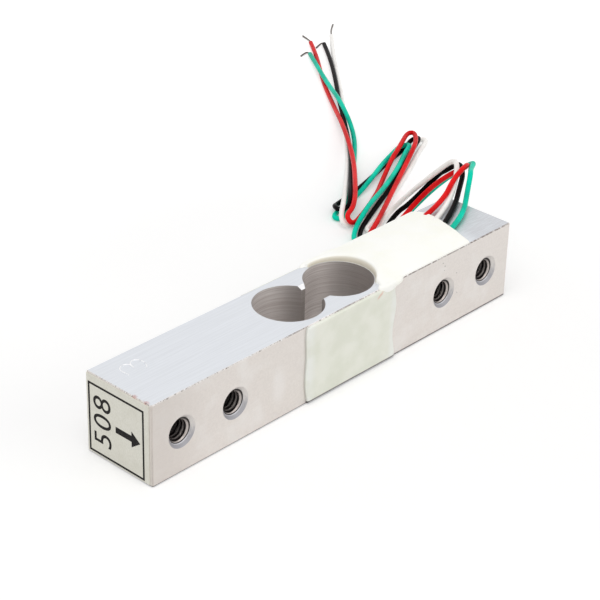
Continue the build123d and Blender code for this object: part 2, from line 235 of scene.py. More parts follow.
# Leads: four sleeved wires and their bare ends
leadLook = {
    "sleeveDiameter": 0.85,
    "sleeveRings": 5,
    "strandCount": 7,
    "strandDiameter": 0.11,
    "strandLay": 2.6,  # one full twist, along the tip
    "strandSpread": 0.25,  # how much wider the bundle is at its end
    "tipStart": 0.6,  # the strands run straight on so far past the sleeve
    "lengths": {"red": 0.2051, "white": 0.2112, "black": 0.2061, "green": 0.1946},
    "colours": {  # light tone, dark tone, shine, and a painted glow
        "red": ((238, 26, 28), (212, 8, 14), 0.08, 0.0),
        "white": ((252, 250, 247), (242, 239, 235), 0.1, 0.08),
        "black": ((12, 8, 10), (5, 4, 5), 0.03, 0.0),
        "green": ((0, 214, 182), (0, 184, 154), 0.06, 0.03),
    },
}
leadRoutes = {
    "red": [
        (0.0286, 0.0034, 0.0133), (0.0345, 0.0045, 0.0137), (0.0391, 0.0064, 0.0152),
        (0.0431, 0.0070, 0.0162), (0.0465, 0.0094, 0.0139), (0.0451, 0.0128, 0.0114),
        (0.0451, 0.0175, 0.0062), (0.0389, 0.0181, 0.0019), (0.0350, 0.0178, 0.0015),
        (0.0345, 0.0198, 0.0014), (0.0385, 0.0214, 0.0018), (0.0449, 0.0249, 0.0017),
        (0.0526, 0.0293, 0.0015), (0.0607, 0.0336, 0.0018), (0.0652, 0.0358, 0.0026),
        (0.0683, 0.0379, 0.0024), (0.0706, 0.0403, 0.0023), (0.0694, 0.0410, 0.0023),
        (0.0652, 0.0387, 0.0025), (0.0618, 0.0370, 0.0024), (0.0594, 0.0360, 0.0021),
        (0.0533, 0.0330, 0.0006), (0.0473, 0.0290, 0.0016), (0.0405, 0.0259, 0.0016),
        (0.0366, 0.0247, 0.0012), (0.0359, 0.0258, 0.0027), (0.0390, 0.0267, 0.0031),
        (0.0445, 0.0313, 0.0032), (0.0543, 0.0405, 0.0025), (0.0629, 0.0507, 0.0025),
        (0.0713, 0.0607, 0.0008), (0.0791, 0.0707, 0.0005), (0.0880, 0.0806, 0.0006),
        (0.0923, 0.0862, 0.0005),
    ],
    "white": [
        (0.0280, 0.0012, 0.0133), (0.0351, 0.0037, 0.0131), (0.0427, 0.0084, 0.0150),
        (0.0453, 0.0112, 0.0151), (0.0454, 0.0150, 0.0113), (0.0456, 0.0196, 0.0064),
        (0.0452, 0.0236, 0.0015), (0.0423, 0.0234, 0.0005), (0.0403, 0.0218, 0.0005),
        (0.0378, 0.0205, 0.0006), (0.0368, 0.0222, 0.0010), (0.0401, 0.0238, 0.0005),
        (0.0464, 0.0266, 0.0005), (0.0547, 0.0301, 0.0005), (0.0626, 0.0340, 0.0005),
        (0.0683, 0.0371, 0.0005), (0.0730, 0.0390, 0.0005), (0.0721, 0.0407, 0.0005),
        (0.0677, 0.0382, 0.0005), (0.0615, 0.0356, 0.0005), (0.0545, 0.0321, 0.0005),
        (0.0471, 0.0289, 0.0005), (0.0406, 0.0263, 0.0005), (0.0367, 0.0254, 0.0005),
        (0.0359, 0.0270, 0.0015), (0.0397, 0.0296, 0.0031), (0.0453, 0.0343, 0.0019),
        (0.0556, 0.0428, 0.0005), (0.0748, 0.0615, 0.0005), (0.0838, 0.0712, 0.0005),
        (0.0930, 0.0809, 0.0005), (0.0981, 0.0858, 0.0005),
    ],
    "black": [
        (0.0282, -0.0005, 0.0132), (0.0344, 0.0022, 0.0132), (0.0395, 0.0054, 0.0137),
        (0.0434, 0.0078, 0.0142), (0.0458, 0.0105, 0.0145), (0.0462, 0.0135, 0.0119),
        (0.0472, 0.0158, 0.0101), (0.0442, 0.0191, 0.0045), (0.0440, 0.0218, 0.0019),
        (0.0379, 0.0197, 0.0005), (0.0350, 0.0190, 0.0005), (0.0340, 0.0209, 0.0005),
        (0.0371, 0.0236, 0.0005), (0.0435, 0.0264, 0.0007), (0.0523, 0.0301, 0.0009),
        (0.0609, 0.0343, 0.0009), (0.0672, 0.0375, 0.0013), (0.0711, 0.0392, 0.0016),
        (0.0704, 0.0409, 0.0007), (0.0674, 0.0395, 0.0005), (0.0608, 0.0379, 0.0005),
        (0.0540, 0.0357, 0.0005), (0.0470, 0.0337, 0.0005), (0.0409, 0.0325, 0.0006),
        (0.0391, 0.0312, 0.0015), (0.0383, 0.0294, 0.0017), (0.0395, 0.0281, 0.0024),
        (0.0421, 0.0304, 0.0031), (0.0476, 0.0352, 0.0022), (0.0568, 0.0433, 0.0014),
        (0.0650, 0.0520, 0.0015), (0.0729, 0.0608, 0.0012), (0.0813, 0.0695, 0.0012),
        (0.0894, 0.0785, 0.0008), (0.0937, 0.0838, 0.0005),
    ],
    "green": [
        (0.0270, -0.0024, 0.0132), (0.0329, -0.0007, 0.0132), (0.0386, 0.0031, 0.0144),
        (0.0411, 0.0046, 0.0161), (0.0435, 0.0065, 0.0154), (0.0475, 0.0087, 0.0149),
        (0.0466, 0.0151, 0.0090), (0.0438, 0.0196, 0.0022), (0.0370, 0.0184, 0.0005),
        (0.0333, 0.0182, 0.0005), (0.0323, 0.0200, 0.0006), (0.0345, 0.0230, 0.0009),
        (0.0411, 0.0256, 0.0028), (0.0494, 0.0292, 0.0020), (0.0573, 0.0329, 0.0018),
        (0.0634, 0.0363, 0.0019), (0.0669, 0.0380, 0.0019), (0.0661, 0.0397, 0.0012),
        (0.0632, 0.0386, 0.0015), (0.0572, 0.0365, 0.0014), (0.0526, 0.0343, 0.0016),
        (0.0478, 0.0330, 0.0006), (0.0425, 0.0314, 0.0005), (0.0388, 0.0307, 0.0005),
        (0.0372, 0.0295, 0.0005), (0.0381, 0.0284, 0.0005), (0.0400, 0.0294, 0.0009),
        (0.0414, 0.0306, 0.0018), (0.0440, 0.0324, 0.0015), (0.0488, 0.0363, 0.0009),
        (0.0568, 0.0424, 0.0005), (0.0641, 0.0490, 0.0013), (0.0702, 0.0579, 0.0029),
        (0.0770, 0.0674, 0.0015), (0.0833, 0.0767, 0.0015), (0.0877, 0.0821, 0.0005),
    ],
}
tipRoutes = {
    "red": [(0.0936, 0.0883, 0.0003), (0.0943, 0.0903, 0.0002)],
    "white": [(0.1006, 0.0883, 0.0003), (0.1037, 0.0905, 0.0002)],
    "black": [(0.0936, 0.0848, 0.0003), (0.0916, 0.0840, 0.0002)],
    "green": [(0.0881, 0.0837, 0.0003), (0.0861, 0.0831, 0.0002)],
}


def sleeveFinish(name, light, dark, shine, glow):
    # soft vinyl: a slow change of tone, faint handling marks, and a gloss that varies with them
    material, tree, shader = newFinish("sleeve_" + name, 0.3)
    shader.inputs["Specular IOR Level"].default_value = shine
    # painted glow: a faint emission in the sleeve's own light tone brightens it, though it is no lamp
    shader.inputs["Emission Color"].default_value = linear(*light)
    shader.inputs["Emission Strength"].default_value = glow
    place = placeInMm(tree)
    cloud = noise(tree, place, 0.22, 3.0)
    colour = mixed(tree, between(tree, cloud, 0.35, 0.65), light, dark)
    tree.links.new(colour, shader.inputs["Base Color"])
    marks = noise(tree, place, 5.0, 5.0)
    tree.links.new(between(tree, marks, 0.35, 0.7, 0.26, 0.44), shader.inputs["Roughness"])
    addBump(tree, shader, marks, 0.008)
    return material


def tinnedFinish():
    # tinned copper: bright, with coppery patches where the tin is thin
    material, tree, shader = newFinish("tinnedCopper", 0.3, metallic=1.0)
    patches = noise(tree, placeInMm(tree), 2.4, 4.0)
    colour = mixed(tree, between(tree, patches, 0.5, 0.68), (124, 119, 114), (108, 88, 76))
    tree.links.new(colour, shader.inputs["Base Color"])
    tree.links.new(between(tree, patches, 0.3, 0.7, 0.22, 0.42), shader.inputs["Roughness"])
    return material


def pathAlong(name, points):
    # the points of the smooth line itself, read from the curve while it has no thickness
    holder = bpy.data.objects.new(name, smoothCurve(name, points))
    mesh = bpy.data.meshes.new_from_object(holder)
    path = np.empty(len(mesh.vertices) * 3)
    mesh.vertices.foreach_get("co", path)
    bpy.data.objects.remove(holder)
    bpy.data.meshes.remove(mesh)
    return path.reshape(-1, 3)


def strandBundle(path, stations=48, sides=8):
    # strand k sits on a circle that turns once per lay along the path, the first strand in the middle;
    # the circle opens toward the end, as the cube of the way along
    count, lay = leadLook["strandCount"], leadLook["strandLay"] * mm
    radius = leadLook["strandDiameter"] / 2 * mm
    run = np.linalg.norm(np.diff(path, axis=0), axis=1)
    along = np.concatenate([[0], np.cumsum(run)])
    steps = np.linspace(0, along[-1], stations)
    path = np.column_stack([np.interp(steps, along, path[:, axis]) for axis in range(3)])
    forward = np.gradient(path, axis=0)
    forward /= np.linalg.norm(forward, axis=1, keepdims=True)
    aside = np.cross(forward, (0, 0, 1))
    aside /= np.linalg.norm(aside, axis=1, keepdims=True)
    upward = np.cross(aside, forward)
    around = np.linspace(0, 2 * np.pi, sides, endpoint=False)[None, :, None]
    circle = radius * (np.cos(around) * aside[:, None] + np.sin(around) * upward[:, None])
    opening = 2 * radius * (1 + leadLook["strandSpread"] * (steps[:, None] / steps[-1]) ** 3)
    points, faces = [], []
    for strand in range(count):
        swing = 2 * np.pi * (steps[:, None] / lay + strand / (count - 1))
        spread = opening if strand > 0 else 0
        centre = path + spread * (np.cos(swing) * aside + np.sin(swing) * upward)
        caps = centre[[0, -1], None].repeat(sides, axis=1)
        tube = np.concatenate([caps[:1], centre[:, None] + circle, caps[1:]])
        faces.append(tubeQuads(len(tube), sides) + strand * len(tube) * sides)
        points.append(tube)
    return np.concatenate(points), np.concatenate(faces)


tipMaterial = tinnedFinish()
for colourName, points in leadRoutes.items():
    sleeve = sleeveFinish(colourName, *leadLook["colours"][colourName])
    radius, rings = leadLook["sleeveDiameter"] / 2, leadLook["sleeveRings"]
    curve = roundCurve("wire_" + colourName, points, radius, rings, sleeve)
    wire = placePiece("wire_" + colourName, curve)
    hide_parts("lead_" + colourName)

    end, before = np.array(points[-1]), np.array(points[-2])
    ahead = (end - before) / np.linalg.norm(end - before)
    inside, outside = end - ahead * mm, end + ahead * leadLook["tipStart"] * mm
    tipPath = pathAlong("tip_path_" + colourName, [inside, end, outside, *tipRoutes[colourName]])
    strands = newPiece("strands_" + colourName, *strandBundle(tipPath), tipMaterial, "tinned_copper")
    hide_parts("lead_tip_" + colourName)
print("leads made")


# Bar: brushed top, blasted sides, turned bores, nicked edges
barLook = {
    "length": 75.0,
    "side": 12.7,
    "boreRadius": 5.25,
    "holes": (22.1, 32.1),  # from the middle of the bar, to both ends
    "holeLevel": 6.35,
    "grooveShadeRadius": 1.7,  # of the painted dark shade ring where the thread begins
    "glintRadius": 1.95,  # of the painted highlight ring in the countersink
    "facetSum": 2.55,  # distance from the middle plane and from the top, added up, where the bores meet
    "edgeWidth": 0.13,
    "baseShadowLine": 0.17,  # height of the painted contact shadow along the base
    "palePatch": (-13.6, -6.35, 2.4),  # its middle, with the height counted by 0.45
    "topTones": ((220, 223, 228), (228, 231, 236)),
    "sideTones": ((221, 215, 210), (227, 221, 216)),
    "boreTones": ((222, 214, 210), (250, 245, 242)),
    # countersinks: painted shade low down, painted light above
    "coneShadeAndLightTones": ((164, 163, 168), (226, 221, 217)),
    "grooveShadeTone": (38, 33, 32),
    "edgeTones": ((104, 96, 92), (240, 240, 242)),  # dark nicks, and bright nicks painted as highlights
    "borderTone": (118, 106, 100),
    "baseShadowTone": (66, 58, 56),
    "pits": [  # x, z, radius
        (22.0, 10.9, 0.1), (21.9, 10.2, 0.09), (25.3, 5.2, 0.12), (21.5, 11.6, 0.09), (24.9, 8.7, 0.09),
    ],
    "inkSpots": [(-37.5, -3.0, 12.7), (-37.4, -5.2, 12.7)],
}


def barPlaces(tree):
    # how far a point is from the top or base, the long sides and the ends: on a face one of the three
    # is nothing, and on a broken edge two of them are small; and the patterns that the tones share
    side, place = barLook["side"], placeInMm(tree)
    parts = addNode(tree, "SeparateXYZ", {0: place}).outputs
    absX, absY = work(tree, "ABSOLUTE", parts["X"]), work(tree, "ABSOLUTE", parts["Y"])
    return {
        "place": place,
        "x": parts["X"],
        "z": parts["Z"],
        "absX": absX,
        "absY": absY,
        "fromLevel": work(tree, "MINIMUM", work(tree, "SUBTRACT", side, parts["Z"]), parts["Z"]),
        "fromSide": work(tree, "SUBTRACT", side / 2, absY),
        "fromEnd": work(tree, "SUBTRACT", barLook["length"] / 2, absX),
        "streaks": noise(tree, stretched(tree, place, (0.09, 5.5, 5.5)), 1.0, 6.0, 0.62),
        "scratches": noise(tree, stretched(tree, place, (0.5, 9.0, 9.0)), 1.0, 3.0),
        "rings": noise(tree, stretched(tree, place, (0.12, 0.12, 9.0)), 1.0, 4.0, 0.62),
        "grain": noise(tree, place, 3.4, 6.0, 0.6),
    }


def topTone(tree, at):
    # brushed along the bar, and greyer past the potting
    colour = mixed(tree, between(tree, at["streaks"], 0.34, 0.66), *barLook["topTones"])
    rubbed = between(tree, at["scratches"], 0.3, 0.6, 0.2, 0.85)
    farShare = product(tree, between(tree, at["x"], 28.0, 31.0), rubbed)
    return mixed(tree, farShare, colour, (203, 204, 208))


def sideTone(tree, at):
    # warm grey with paler clouds, darker at the label's end, and one tall pale patch before the coat
    colour = mixed(tree, between(tree, at["grain"], 0.3, 0.7), *barLook["sideTones"])
    cloud = noise(tree, at["place"], 0.22, 3.0)
    colour = mixed(tree, between(tree, cloud, 0.45, 0.7, 0.0, 0.55), colour, (233, 230, 227))
    colour = mixed(tree, between(tree, at["x"], -36.0, -25.0, 0.55, 0.0), colour, (205, 198, 192))
    patch = distanceTo(tree, stretched(tree, at["place"], (1.0, 1.0, 0.45)), barLook["palePatch"])
    return mixed(tree, between(tree, patch, 0.4, 1.9, 0.35, 0.0), colour, (240, 238, 237))


def boreTone(tree, at):
    # painted shade: darker where the walls face along the bar and see less of the room, and on the two flats
    # of the slot
    radius = barLook["boreRadius"]
    colour = mixed(tree, between(tree, at["rings"], 0.36, 0.62), *barLook["boreTones"])
    # painted shade, toward the tone below
    shade = between(tree, offBy(tree, at["absX"], radius), 0.2 * radius, radius, 0.0, 0.68)
    slotFlatShade = between(tree, at["absX"], 0.38, 0.44, 0.6, 0.0)
    return mixed(tree, work(tree, "MAXIMUM", shade, slotFlatShade), colour, (120, 111, 107))


def coneTone(tree, at):
    # countersinks, in painted light and shade: painted shade grey below, the tone of the face above, a
    # painted glint low down, and painted dark shade where the thread begins
    look, level = barLook, barLook["holeLevel"]
    flat = addNode(tree, "CombineXYZ", {0: at["absX"], 2: at["z"]}).outputs[0]
    fromAxis = work(tree, "MINIMUM", *[distanceTo(tree, flat, (x, 0, level)) for x in look["holes"]])
    shadeWobble = noise(tree, stretched(tree, at["place"], (1.0, 6.0, 1.0)), 1.6, 4.0)
    height = work(tree, "ADD", at["z"], product(tree, work(tree, "SUBTRACT", shadeWobble, 0.5), 2.2))
    colour = mixed(tree, between(tree, height, level - 1.9, level + 0.9), *look["coneShadeAndLightTones"])
    glint = between(tree, offBy(tree, fromAxis, look["glintRadius"]), 0.04, 0.13, 1.0, 0.0)
    glint = product(tree, glint, between(tree, height, level - 0.9, level - 1.7, 0.0, 0.5))
    colour = mixed(tree, glint, colour, (238, 238, 241))
    # painted shade: a dark ring where the thread begins
    inGrooveShade = between(tree, fromAxis, look["grooveShadeRadius"] - 0.05, look["grooveShadeRadius"] + 0.05, 1.0, 0.0)
    return mixed(tree, inGrooveShade, colour, look["grooveShadeTone"])


def withFacets(tree, at, colour):
    # the small facets where the two bores meet get a painted highlight: on them both distances add up to one
    # value
    total = work(tree, "ADD", at["absY"], at["fromLevel"])
    facetHighlight = between(tree, offBy(tree, total, barLook["facetSum"]), 0.01, 0.03, 1.0, 0.0)
    facetHighlight = product(tree, facetHighlight, between(tree, at["absX"], 1.2, 1.3, 1.0, 0.0))
    return mixed(tree, facetHighlight, colour, (252, 252, 254))


def withSpots(tree, at, colour):
    # small pits in the near side and touches of red ink at the label, all with ragged rims
    ragged = work(tree, "SUBTRACT", at["grain"], 0.5)
    for x, z, size in barLook["pits"]:
        gap = distanceTo(tree, at["place"], (x, -barLook["side"] / 2, z))
        gap = work(tree, "ADD", gap, product(tree, ragged, 0.5))
        colour = mixed(tree, between(tree, gap, size * 0.5, size * 1.4, 0.5, 0.0), colour, (126, 118, 112))
    for centre in barLook["inkSpots"]:
        gap = work(tree, "ADD", distanceTo(tree, at["place"], centre), ragged)
        colour = mixed(tree, between(tree, gap, 0.15, 0.6, 0.45, 0.0), colour, (190, 104, 92))
    return colour


def withEdges(tree, at, colour):
    # broken edges: mostly the tone of the faces, with short dark and bright nicks round the top face; the
    # bright nicks are painted highlights
    look = barLook
    darkTone, edgeHighlightTone = look["edgeTones"]
    longEdge = work(tree, "MAXIMUM", at["fromLevel"], at["fromSide"])
    crossEdge = work(tree, "MAXIMUM", at["fromLevel"], at["fromEnd"])
    uprightEdge = work(tree, "MAXIMUM", at["fromSide"], at["fromEnd"])
    edge = work(tree, "MINIMUM", work(tree, "MINIMUM", longEdge, crossEdge), uprightEdge)
    nicks = noise(tree, at["place"], 2.6, 5.0, 0.75)
    spots = noise(tree, at["place"], 1.5, 5.0, 0.8)
    width = between(tree, nicks, 0.45, 0.75, look["edgeWidth"] * 0.6, look["edgeWidth"] * 1.8)
    # real dark nicks, and painted highlights on the bright spots of the edges
    edgeColour = mixed(tree, between(tree, spots, 0.5, 0.62), (198, 194, 191), edgeHighlightTone)
    darkNicks = product(tree, between(tree, spots, 0.44, 0.52, 1.0, 0.0), between(tree, at["z"], 12.0, 12.3))
    edgeColour = mixed(tree, darkNicks, edgeColour, darkTone)
    onEdge = work(tree, "LESS_THAN", edge, width)
    colour = mixed(tree, product(tree, onEdge, 0.85), colour, edgeColour)
    # a soft brown at the upright edges, a broken line along the potting, and a painted contact shadow at the
    # base, which reaches higher from the coat on
    colour = mixed(tree, between(tree, uprightEdge, 0.15, 0.25, 0.8, 0.0), colour, (206, 197, 189))
    border = product(
        tree,
        between(tree, at["x"], 11.5, 12.5),
        between(tree, longEdge, 0.12, 0.2, 0.75, 0.0),
        between(tree, spots, 0.46, 0.6, 1.0, 0.15),
    )
    colour = mixed(tree, border, colour, look["borderTone"])
    # painted contact shadow along the base
    shadowLineTop = between(tree, at["x"], -10.0, -6.0, look["baseShadowLine"], look["baseShadowLine"] + 0.1)
    baseShadowLine = between(tree, work(tree, "SUBTRACT", at["z"], shadowLineTop), 0.0, 0.08, 0.9, 0.0)
    baseShadowLine = product(tree, baseShadowLine, between(tree, nicks, 0.3, 0.5, 0.75, 1.0))
    return mixed(tree, baseShadowLine, colour, look["baseShadowTone"])


def barFinish():
    # each face has its own tone, gloss and fine relief, told apart by the distance that is nothing on it
    material, tree, shader = newFinish("aluminium", 0.4)
    at = barPlaces(tree)
    onSide = between(tree, at["fromSide"], 0.004, 0.012, 1.0, 0.0)
    onLevel = between(tree, at["fromLevel"], 0.004, 0.012, 1.0, 0.0)
    onEnd = between(tree, at["fromEnd"], 0.004, 0.012, 1.0, 0.0)
    onFlat = work(tree, "MAXIMUM", onSide, onEnd)
    colour = mixed(tree, between(tree, at["absX"], 12.0, 13.0), boreTone(tree, at), coneTone(tree, at))
    colour = mixed(tree, onFlat, colour, sideTone(tree, at))
    colour = mixed(tree, onLevel, colour, topTone(tree, at))
    for step in (withFacets, withSpots, withEdges):
        colour = step(tree, at, colour)
    tree.links.new(colour, shader.inputs["Base Color"])
    tree.links.new(between(tree, at["streaks"], 0.3, 0.7, 0.34, 0.5), shader.inputs["Roughness"])
    inside = work(tree, "SUBTRACT", 1.0, work(tree, "MAXIMUM", onLevel, onFlat))
    tree.links.new(between(tree, inside, 0.0, 1.0, 0.75, 0.45), shader.inputs["Metallic"])
    relief = product(tree, at["scratches"], onLevel, 0.6)
    relief = work(tree, "ADD", relief, product(tree, at["grain"], onFlat, 0.5))
    relief = work(tree, "ADD", relief, product(tree, at["rings"], inside, 2.0))
    addBump(tree, shader, relief, 0.02)
    return material


cover(nodes["beam"].data, barFinish())
print("bar finished")


# Tapped holes: the thread that stands on the wall of each drilled hole
threadLook = {
    "pitch": 0.7,
    "crestRadius": 1.47,
    "rootRadius": 1.635,
    "cone": 5.55,  # from the middle of the bar to where the countersink begins
    "reach": 5.84,  # and to where the thread runs out in it
    "rowsPerPitch": 8,
    "sides": 40,
}


def threadFinish():
    # cut aluminium, with a painted highlight on the crests and painted shade in the roots and deep in the
    # hole
    material, tree, shader = newFinish("cutThread", 0.34, metallic=0.5)
    place = placeInMm(tree)
    flecks = noise(tree, place, 4.0, 4.0)
    crest = addNode(tree, "Attribute", attribute_name="crest").outputs["Fac"]
    fromMiddle = work(tree, "ABSOLUTE", addNode(tree, "SeparateXYZ", {0: place}).outputs["Y"])
    # painted highlight on the crests near the mouth, painted shade in the roots and further in
    crestHighlight = product(tree, between(tree, crest, 0.55, 1.0), between(tree, fromMiddle, 3.2, 5.6, 0.08, 1.0))
    tone = mixed(tree, crestHighlight, (24, 16, 16), (192, 184, 179))
    tone = mixed(tree, between(tree, flecks, 0.5, 0.7, 0.0, 0.4), tone, (30, 26, 25))
    tree.links.new(tone, shader.inputs["Base Color"])
    addBump(tree, shader, flecks, 0.02)
    return material


def threadWall(x):
    # radius = crest at one place of each turn, falling in straight flanks to the root half a pitch away;
    # the turn moves along the hole by one pitch for each time round
    look = threadLook
    rows = int(2 * look["reach"] / look["pitch"] * look["rowsPerPitch"])
    along = np.linspace(-look["reach"], look["reach"], rows)[:, None]
    around = np.linspace(0, 2 * np.pi, look["sides"], endpoint=False)[None, :]
    phase = np.abs(((along / look["pitch"] - around / (2 * np.pi)) % 1.0) - 0.5) * 2
    height = np.clip((phase - 0.15) / 0.6, 0, 1)
    # in the countersink the root follows the cone, one to one, and the crest runs out to meet it
    intoCone = np.clip(np.abs(along) - look["cone"], 0, None)
    root = look["rootRadius"] + intoCone
    crest = np.minimum(look["crestRadius"] + 1.5 * intoCone, root)
    height = height * np.clip((look["reach"] - np.abs(along)) / 0.06, 0, 1)
    inner = root - (root - crest) * height
    # an outer wall just behind the root closes the piece
    radius = np.concatenate([inner, (root + 0.01 + 0 * inner)[::-1]])
    along = np.broadcast_to(np.concatenate([along, along[::-1]]), radius.shape)
    level = barLook["holeLevel"]
    points = np.stack([x + radius * np.cos(around), along, level + radius * np.sin(around)], axis=-1)
    first = np.arange(look["sides"])
    last = first + (len(radius) - 1) * look["sides"]
    closing = np.stack([last, np.roll(last, -1), np.roll(first, -1), first], axis=-1)
    crestShare = np.concatenate([height, np.zeros(height.shape)])
    return points * mm, np.concatenate([tubeQuads(*radius.shape), closing]), crestShare


threadMaterial = threadFinish()
holePlaces = sorted(end * x for x in barLook["holes"] for end in (-1, 1))
for number, x in enumerate(holePlaces, 1):
    points, faces, crestShare = threadWall(x)
    thread = newPiece(f"thread_{number}", points, faces, threadMaterial, "bar")
    storeValues(thread, "crest", crestShare)
print("threads cut")


# Protective coats over the gauges
coatLook = {
    "low": 0.15,
    "high": 12.55,
    "thickness": 0.36,
    "least": 0.02,  # at the very edge
    "edgeRound": 0.3,
    "edgeOrder": 5,
    "inkSpot": (6.9, -6.7, 11.9),
    "inkLean": 0.6,  # radians
    "leftEdge": [(0.2, -7.95), (2.1, -8.3), (4.7, -8.44), (7.4, -8.32), (10.4, -8.46), (12.6, -8.2)],
    "rightEdge": [
        (0.1, 10.75), (1.0, 10.8), (3.5, 10.3), (6.0, 10.4), (8.4, 10.75), (10.4, 10.6), (12.6, 10.3),
    ],
}


def inkStreak(tree, place):
    # distance to the streak, in a frame that leans with it and counts its length less than its width
    lean, squash = coatLook["inkLean"], Vector((0.8, 1.0, 2.2))
    turned = addNode(tree, "VectorRotate", {"Vector": place, "Angle": lean}, rotation_type="Y_AXIS")
    centre = (Matrix.Rotation(lean, 3, "Y") @ Vector(coatLook["inkSpot"])) * squash
    gap = distanceTo(tree, stretched(tree, turned.outputs["Vector"], squash), centre)
    ragged = work(tree, "SUBTRACT", noise(tree, place, 1.2), 0.5)
    return between(tree, work(tree, "ADD", gap, ragged), 0.2, 0.8, 0.45, 0.0)


def coatFinish():
    # pale rubber, a little green, with soft clouds, very fine dust and one streak of red ink
    material, tree, shader = newFinish("coatRubber", 0.55)
    place = placeInMm(tree)
    parts = addNode(tree, "SeparateXYZ", {0: place}).outputs
    cloud = noise(tree, place, 0.28, 4.0)
    colour = mixed(tree, between(tree, cloud, 0.35, 0.68), (234, 236, 222), (243, 244, 233))
    dust = noise(tree, place, 9.0, 2.0)
    colour = mixed(tree, between(tree, dust, 0.72, 0.8, 0.0, 0.5), colour, (190, 190, 178))
    # paler near the upright edges, and a thin grey line of shadow at the left edge and at the base,
    # told by the rim attribute, which is the distance to the coat's own edge
    rim = addNode(tree, "Attribute", attribute_name="rim").outputs["Fac"]
    leftSide = between(tree, parts["X"], -8.0, -6.0, 1.0, 0.0)
    upright = work(tree, "MAXIMUM", leftSide, between(tree, parts["X"], 8.9, 10.1))
    upright = product(tree, upright, between(tree, cloud, 0.3, 0.6, 0.3, 0.85))
    colour = mixed(tree, upright, colour, (246, 248, 243))
    leftLine = between(tree, rim, 0.02, 0.09, 1.0, 0.0)
    leftLine = product(tree, leftLine, between(tree, parts["X"], -8.0, -7.4, 0.25, 0.0))
    lowLine = between(tree, rim, 0.28, 0.42, 1.0, 0.0)
    lowLine = product(tree, lowLine, between(tree, parts["Z"], 0.4, 0.6, 1.0, 0.0))
    colour = mixed(tree, work(tree, "MAXIMUM", leftLine, lowLine), colour, (58, 51, 49))
    colour = mixed(tree, inkStreak(tree, place), colour, (232, 158, 132))
    tree.links.new(colour, shader.inputs["Base Color"])
    tree.links.new(between(tree, cloud, 0.3, 0.7, 0.46, 0.62), shader.inputs["Roughness"])
    addBump(tree, shader, noise(tree, place, 1.1, 5.0), 0.05)
    return material


def eased(count):
    # steps from 0 to 1 that lie closer together toward both ends, as half a cosine wave
    return 0.5 - 0.5 * np.cos(np.pi * np.linspace(0, 1, count))


def edgeRise(toEdge, edgeRound):
    # a quarter circle from 0 at the edge to 1 at the edge round
    return np.sqrt(1 - (1 - np.clip(toEdge / edgeRound, 0, 1)) ** 2)


def coatSheet(side):
    # a thin cushion: its thickness rises from the least as a quarter circle over the edge round,
    # and its upright edges wander on smooth lines fitted to the two lists of (height, x)
    look = coatLook
    low, high, least = look["low"], look["high"], look["least"]
    height = low + (high - low) * eased(70)
    left = np.polyval(np.polyfit(*zip(*look["leftEdge"]), look["edgeOrder"]), height)
    right = np.polyval(np.polyfit(*zip(*look["rightEdge"]), look["edgeOrder"]), height)
    x = left[:, None] + (right - left)[:, None] * eased(90)[None, :]
    z = np.broadcast_to(height[:, None], x.shape)
    toEdge = np.minimum.reduce([x - left[:, None], right[:, None] - x, z - low, high - z])
    swell = 1 - 0.06 * np.sin(0.9 * x + 0.7) * np.sin(0.8 * z) - 0.05 * np.cos(0.5 * x - 0.6 * z)
    rise = edgeRise(toEdge, look["edgeRound"]) * np.clip(swell, 0, 1)
    thickness = least + (look["thickness"] - least) * rise
    wall = barLook["side"] / 2
    outer = np.stack([x, side * (wall + thickness), z], axis=-1)
    inner = np.stack([x, np.full(x.shape, side * (wall + 0.001)), z], axis=-1)
    faces = shellQuads(*x.shape)
    rim = np.stack([toEdge, np.zeros(x.shape)])
    return np.stack([outer, inner]) * mm, faces[:, ::-1] if side > 0 else faces, rim


coatMaterial = coatFinish()
for side, sideName in ((-1, "front"), (1, "back")):
    points, faces, rim = coatSheet(side)
    coat = newPiece("coat_" + sideName, points, faces, coatMaterial, "gauge_coat")
    storeValues(coat, "rim", rim)
    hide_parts("gauge_coat_" + sideName)
print("coats laid")


# Potting: a poured dome that wraps the rim of the bore and runs over both long edges
potLook = {
    "boreCentre": 5.25,
    "rimRadius": 5.33,
    "lipEnd": 5.66,
    "halfWidth": 6.27,
    "frontStart": 7.8,
    "backStart": 2.6,
    "frontRimAngle": -57,
    "backRimAngle": 98,
    "endLine": [(27.8, -6.25), (28.9, -1.3), (29.7, 3.5), (28.7, 6.25)],  # x, y
    "crownAlong": [  # x, height
        (2.0, 0.42), (6.0, 0.68), (12.0, 1.15), (19.0, 1.25), (26.0, 1.12), (30.0, 0.85),
    ],
    "crown": 1.2,
    "frontEdge": 0.42,
    "backEdge": 0.55,
    "edgeRound": 0.42,
    "foot": 0.12,  # how far the skin reaches below the top face
    "drips": [  # side, x, half width, drop
        (-1, 9.1, 2.1, 1.2), (-1, 10.6, 1.7, 0.62), (1, 6.4, 2.9, 0.8), (1, 9.4, 2.2, 1.1),
    ],
    "dripSink": 0.15,
    "dripReach": 0.68,
    "dripTop": 0.4,
    "voxel": 0.13,
}


